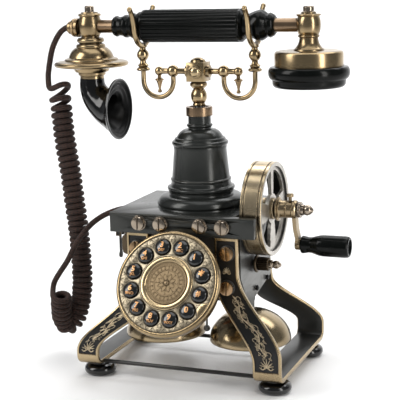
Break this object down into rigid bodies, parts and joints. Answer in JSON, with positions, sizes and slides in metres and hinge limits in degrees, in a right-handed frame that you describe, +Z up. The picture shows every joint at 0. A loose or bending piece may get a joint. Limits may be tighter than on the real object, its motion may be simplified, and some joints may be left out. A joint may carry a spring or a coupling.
{
  "type": "desk telephone",
  "caption": "Open-frame desk telephone with a fork cradle and horn handset, push-button dial plate, gongs, crank with flywheel and coiled handset cord.",
  "frame": {"origin": "centre of the bounding box (without the cord) on the ground", "axes": "+Z up, the dial faces -Y, the crank is on the +X side, +X to the right seen from the front"},
  "size_m": [0.2836, 0.175, 0.3235],
  "materials": {
    "black_paint": "satin",
    "dark_steel": "satin",
    "antique_brass": "aged satin",
    "dial_brass": "engraved, aged",
    "polished_brass": "polished, aged",
    "medallion_brass": "aged matte",
    "finial_bronze": "aged",
    "leg_brass": "aged, dark recess with bright edges",
    "gong_brass": "aged satin",
    "screw_bronze": "aged bronze",
    "screw_nickel": "aged nickel",
    "crank_brass": "aged satin",
    "grey_steel": "satin",
    "foot_black": "glossy",
    "grip_black": "satin",
    "horn_black": "glossy",
    "button_black": "glossy",
    "mat_rubber": "matte",
    "board_green": "matte",
    "jack_black": "satin",
    "coil_copper": "varnished winding",
    "knob_dark": "blackened",
    "cord_textile": "braided"
  },
  "bodies": {
    "base": {"top_box": "black_paint", "tray": "dark_steel", "box_screws": "screw_nickel", "turret": "black_paint", "turret_collar": "antique_brass", "leg_left": "leg_brass", "leg_right": "leg_brass", "leg_screws": "screw_bronze", "feet": "foot_black", "cross_rods": "dark_steel", "side_plate": "grey_steel", "gong_left": "gong_brass", "gong_right": "gong_brass", "gong_nuts": "screw_nickel", "ringer_frame": "dark_steel", "ringer_coils": "coil_copper", "dial_housing": "antique_brass", "dial_bracket": "dark_steel", "dial_face": "dial_brass", "dial_trim": "polished_brass", "medallion": "medallion_brass", "keypad_mat": "mat_rubber", "circuit_board": "board_green", "line_jack": "jack_black", "lever_guard": "antique_brass", "cord_gland": "jack_black", "shaft_bearing": "dark_steel", "cord": "cord_textile"},
    "cradle": {"stem": "grey_steel", "cradle_hub": "antique_brass", "cradle_arms": "antique_brass", "cradle_forks": "antique_brass", "drop_finials": "finial_bronze"},
    "handset": {"grip": "grip_black", "grip_collars": "grip_black", "handset_tube": "antique_brass", "mouth_column": "antique_brass", "horn": "horn_black", "ear_column": "antique_brass", "receiver_can": "antique_brass", "receiver_cap": "horn_black"},
    "crank": {"flywheel": "antique_brass", "crank": "crank_brass", "crank_nut": "screw_nickel"},
    "handle": {"crank_grip": "grip_black"},
    "knob": {"volume_knob": "knob_dark"},
    "striker": {"clapper": "grey_steel"},
    "lever": {"side_lever": "jack_black"},
    "key_1": {"button_1": "button_black"},
    "key_2": {"button_2": "button_black"},
    "key_3": {"button_3": "button_black"},
    "key_4": {"button_4": "button_black"},
    "key_5": {"button_5": "button_black"},
    "key_6": {"button_6": "button_black"},
    "key_7": {"button_7": "button_black"},
    "key_8": {"button_8": "button_black"},
    "key_9": {"button_9": "button_black"},
    "key_0": {"button_0": "button_black"},
    "key_star": {"button_star": "button_black"},
    "key_hash": {"button_hash": "button_black"}
  },
  "joints": [
    {"name": "handset_lift", "type": "slide", "parent": "base", "child": "handset", "axis": [0, 0, 1], "range_m": [0, 0.065], "deforming": ["cord"]},
    {"name": "hook_travel", "type": "slide", "parent": "base", "child": "cradle", "axis": [0, 0, 1], "range_m": [0, 0.004]},
    {"name": "crank_turn", "type": "hinge", "parent": "base", "child": "crank", "pos_m": [0.06065, 0.0195, 0.1474], "axis": [1, 0, 0], "continuous": true},
    {"name": "handle_spin", "type": "hinge", "parent": "crank", "child": "handle", "pos_m": [0.11565, 0.0195, 0.1169], "axis": [1, 0, 0], "continuous": true},
    {"name": "volume_turn", "type": "hinge", "parent": "base", "child": "knob", "pos_m": [0.06065, 0.0195, 0.0972], "axis": [1, 0, 0], "range_deg": [0, 270]},
    {"name": "striker_swing", "type": "hinge", "parent": "base", "child": "striker", "pos_m": [0.0034, 0.0175, 0.0686], "axis": [0, 1, 0], "range_deg": [-3, 3], "stiffness_Nm_per_rad": 0.002},
    {"name": "lever_swing", "type": "hinge", "parent": "base", "child": "lever", "pos_m": [-0.06125, -0.0205, 0.1276], "axis": [0, 1, 0], "range_deg": [0, 20]},
    {"name": "press_1", "type": "slide", "parent": "base", "child": "key_1", "axis": [0, 0.866, -0.5], "range_m": [0, 0.002], "stiffness_N_per_m": 300, "springref_m": -0.001},
    {"name": "press_2", "type": "slide", "parent": "base", "child": "key_2", "axis": [0, 0.866, -0.5], "range_m": [0, 0.002], "stiffness_N_per_m": 300, "springref_m": -0.001},
    {"name": "press_3", "type": "slide", "parent": "base", "child": "key_3", "axis": [0, 0.866, -0.5], "range_m": [0, 0.002], "stiffness_N_per_m": 300, "springref_m": -0.001},
    {"name": "press_4", "type": "slide", "parent": "base", "child": "key_4", "axis": [0, 0.866, -0.5], "range_m": [0, 0.002], "stiffness_N_per_m": 300, "springref_m": -0.001},
    {"name": "press_5", "type": "slide", "parent": "base", "child": "key_5", "axis": [0, 0.866, -0.5], "range_m": [0, 0.002], "stiffness_N_per_m": 300, "springref_m": -0.001},
    {"name": "press_6", "type": "slide", "parent": "base", "child": "key_6", "axis": [0, 0.866, -0.5], "range_m": [0, 0.002], "stiffness_N_per_m": 300, "springref_m": -0.001},
    {"name": "press_7", "type": "slide", "parent": "base", "child": "key_7", "axis": [0, 0.866, -0.5], "range_m": [0, 0.002], "stiffness_N_per_m": 300, "springref_m": -0.001},
    {"name": "press_8", "type": "slide", "parent": "base", "child": "key_8", "axis": [0, 0.866, -0.5], "range_m": [0, 0.002], "stiffness_N_per_m": 300, "springref_m": -0.001},
    {"name": "press_9", "type": "slide", "parent": "base", "child": "key_9", "axis": [0, 0.866, -0.5], "range_m": [0, 0.002], "stiffness_N_per_m": 300, "springref_m": -0.001},
    {"name": "press_0", "type": "slide", "parent": "base", "child": "key_0", "axis": [0, 0.866, -0.5], "range_m": [0, 0.002], "stiffness_N_per_m": 300, "springref_m": -0.001},
    {"name": "press_star", "type": "slide", "parent": "base", "child": "key_star", "axis": [0, 0.866, -0.5], "range_m": [0, 0.002], "stiffness_N_per_m": 300, "springref_m": -0.001},
    {"name": "press_hash", "type": "slide", "parent": "base", "child": "key_hash", "axis": [0, 0.866, -0.5], "range_m": [0, 0.002], "stiffness_N_per_m": 300, "springref_m": -0.001}
  ],
  "couplings": [
    {"joint": "hook_travel", "follows": "handset_lift", "ratio": 0.06}
  ]
}
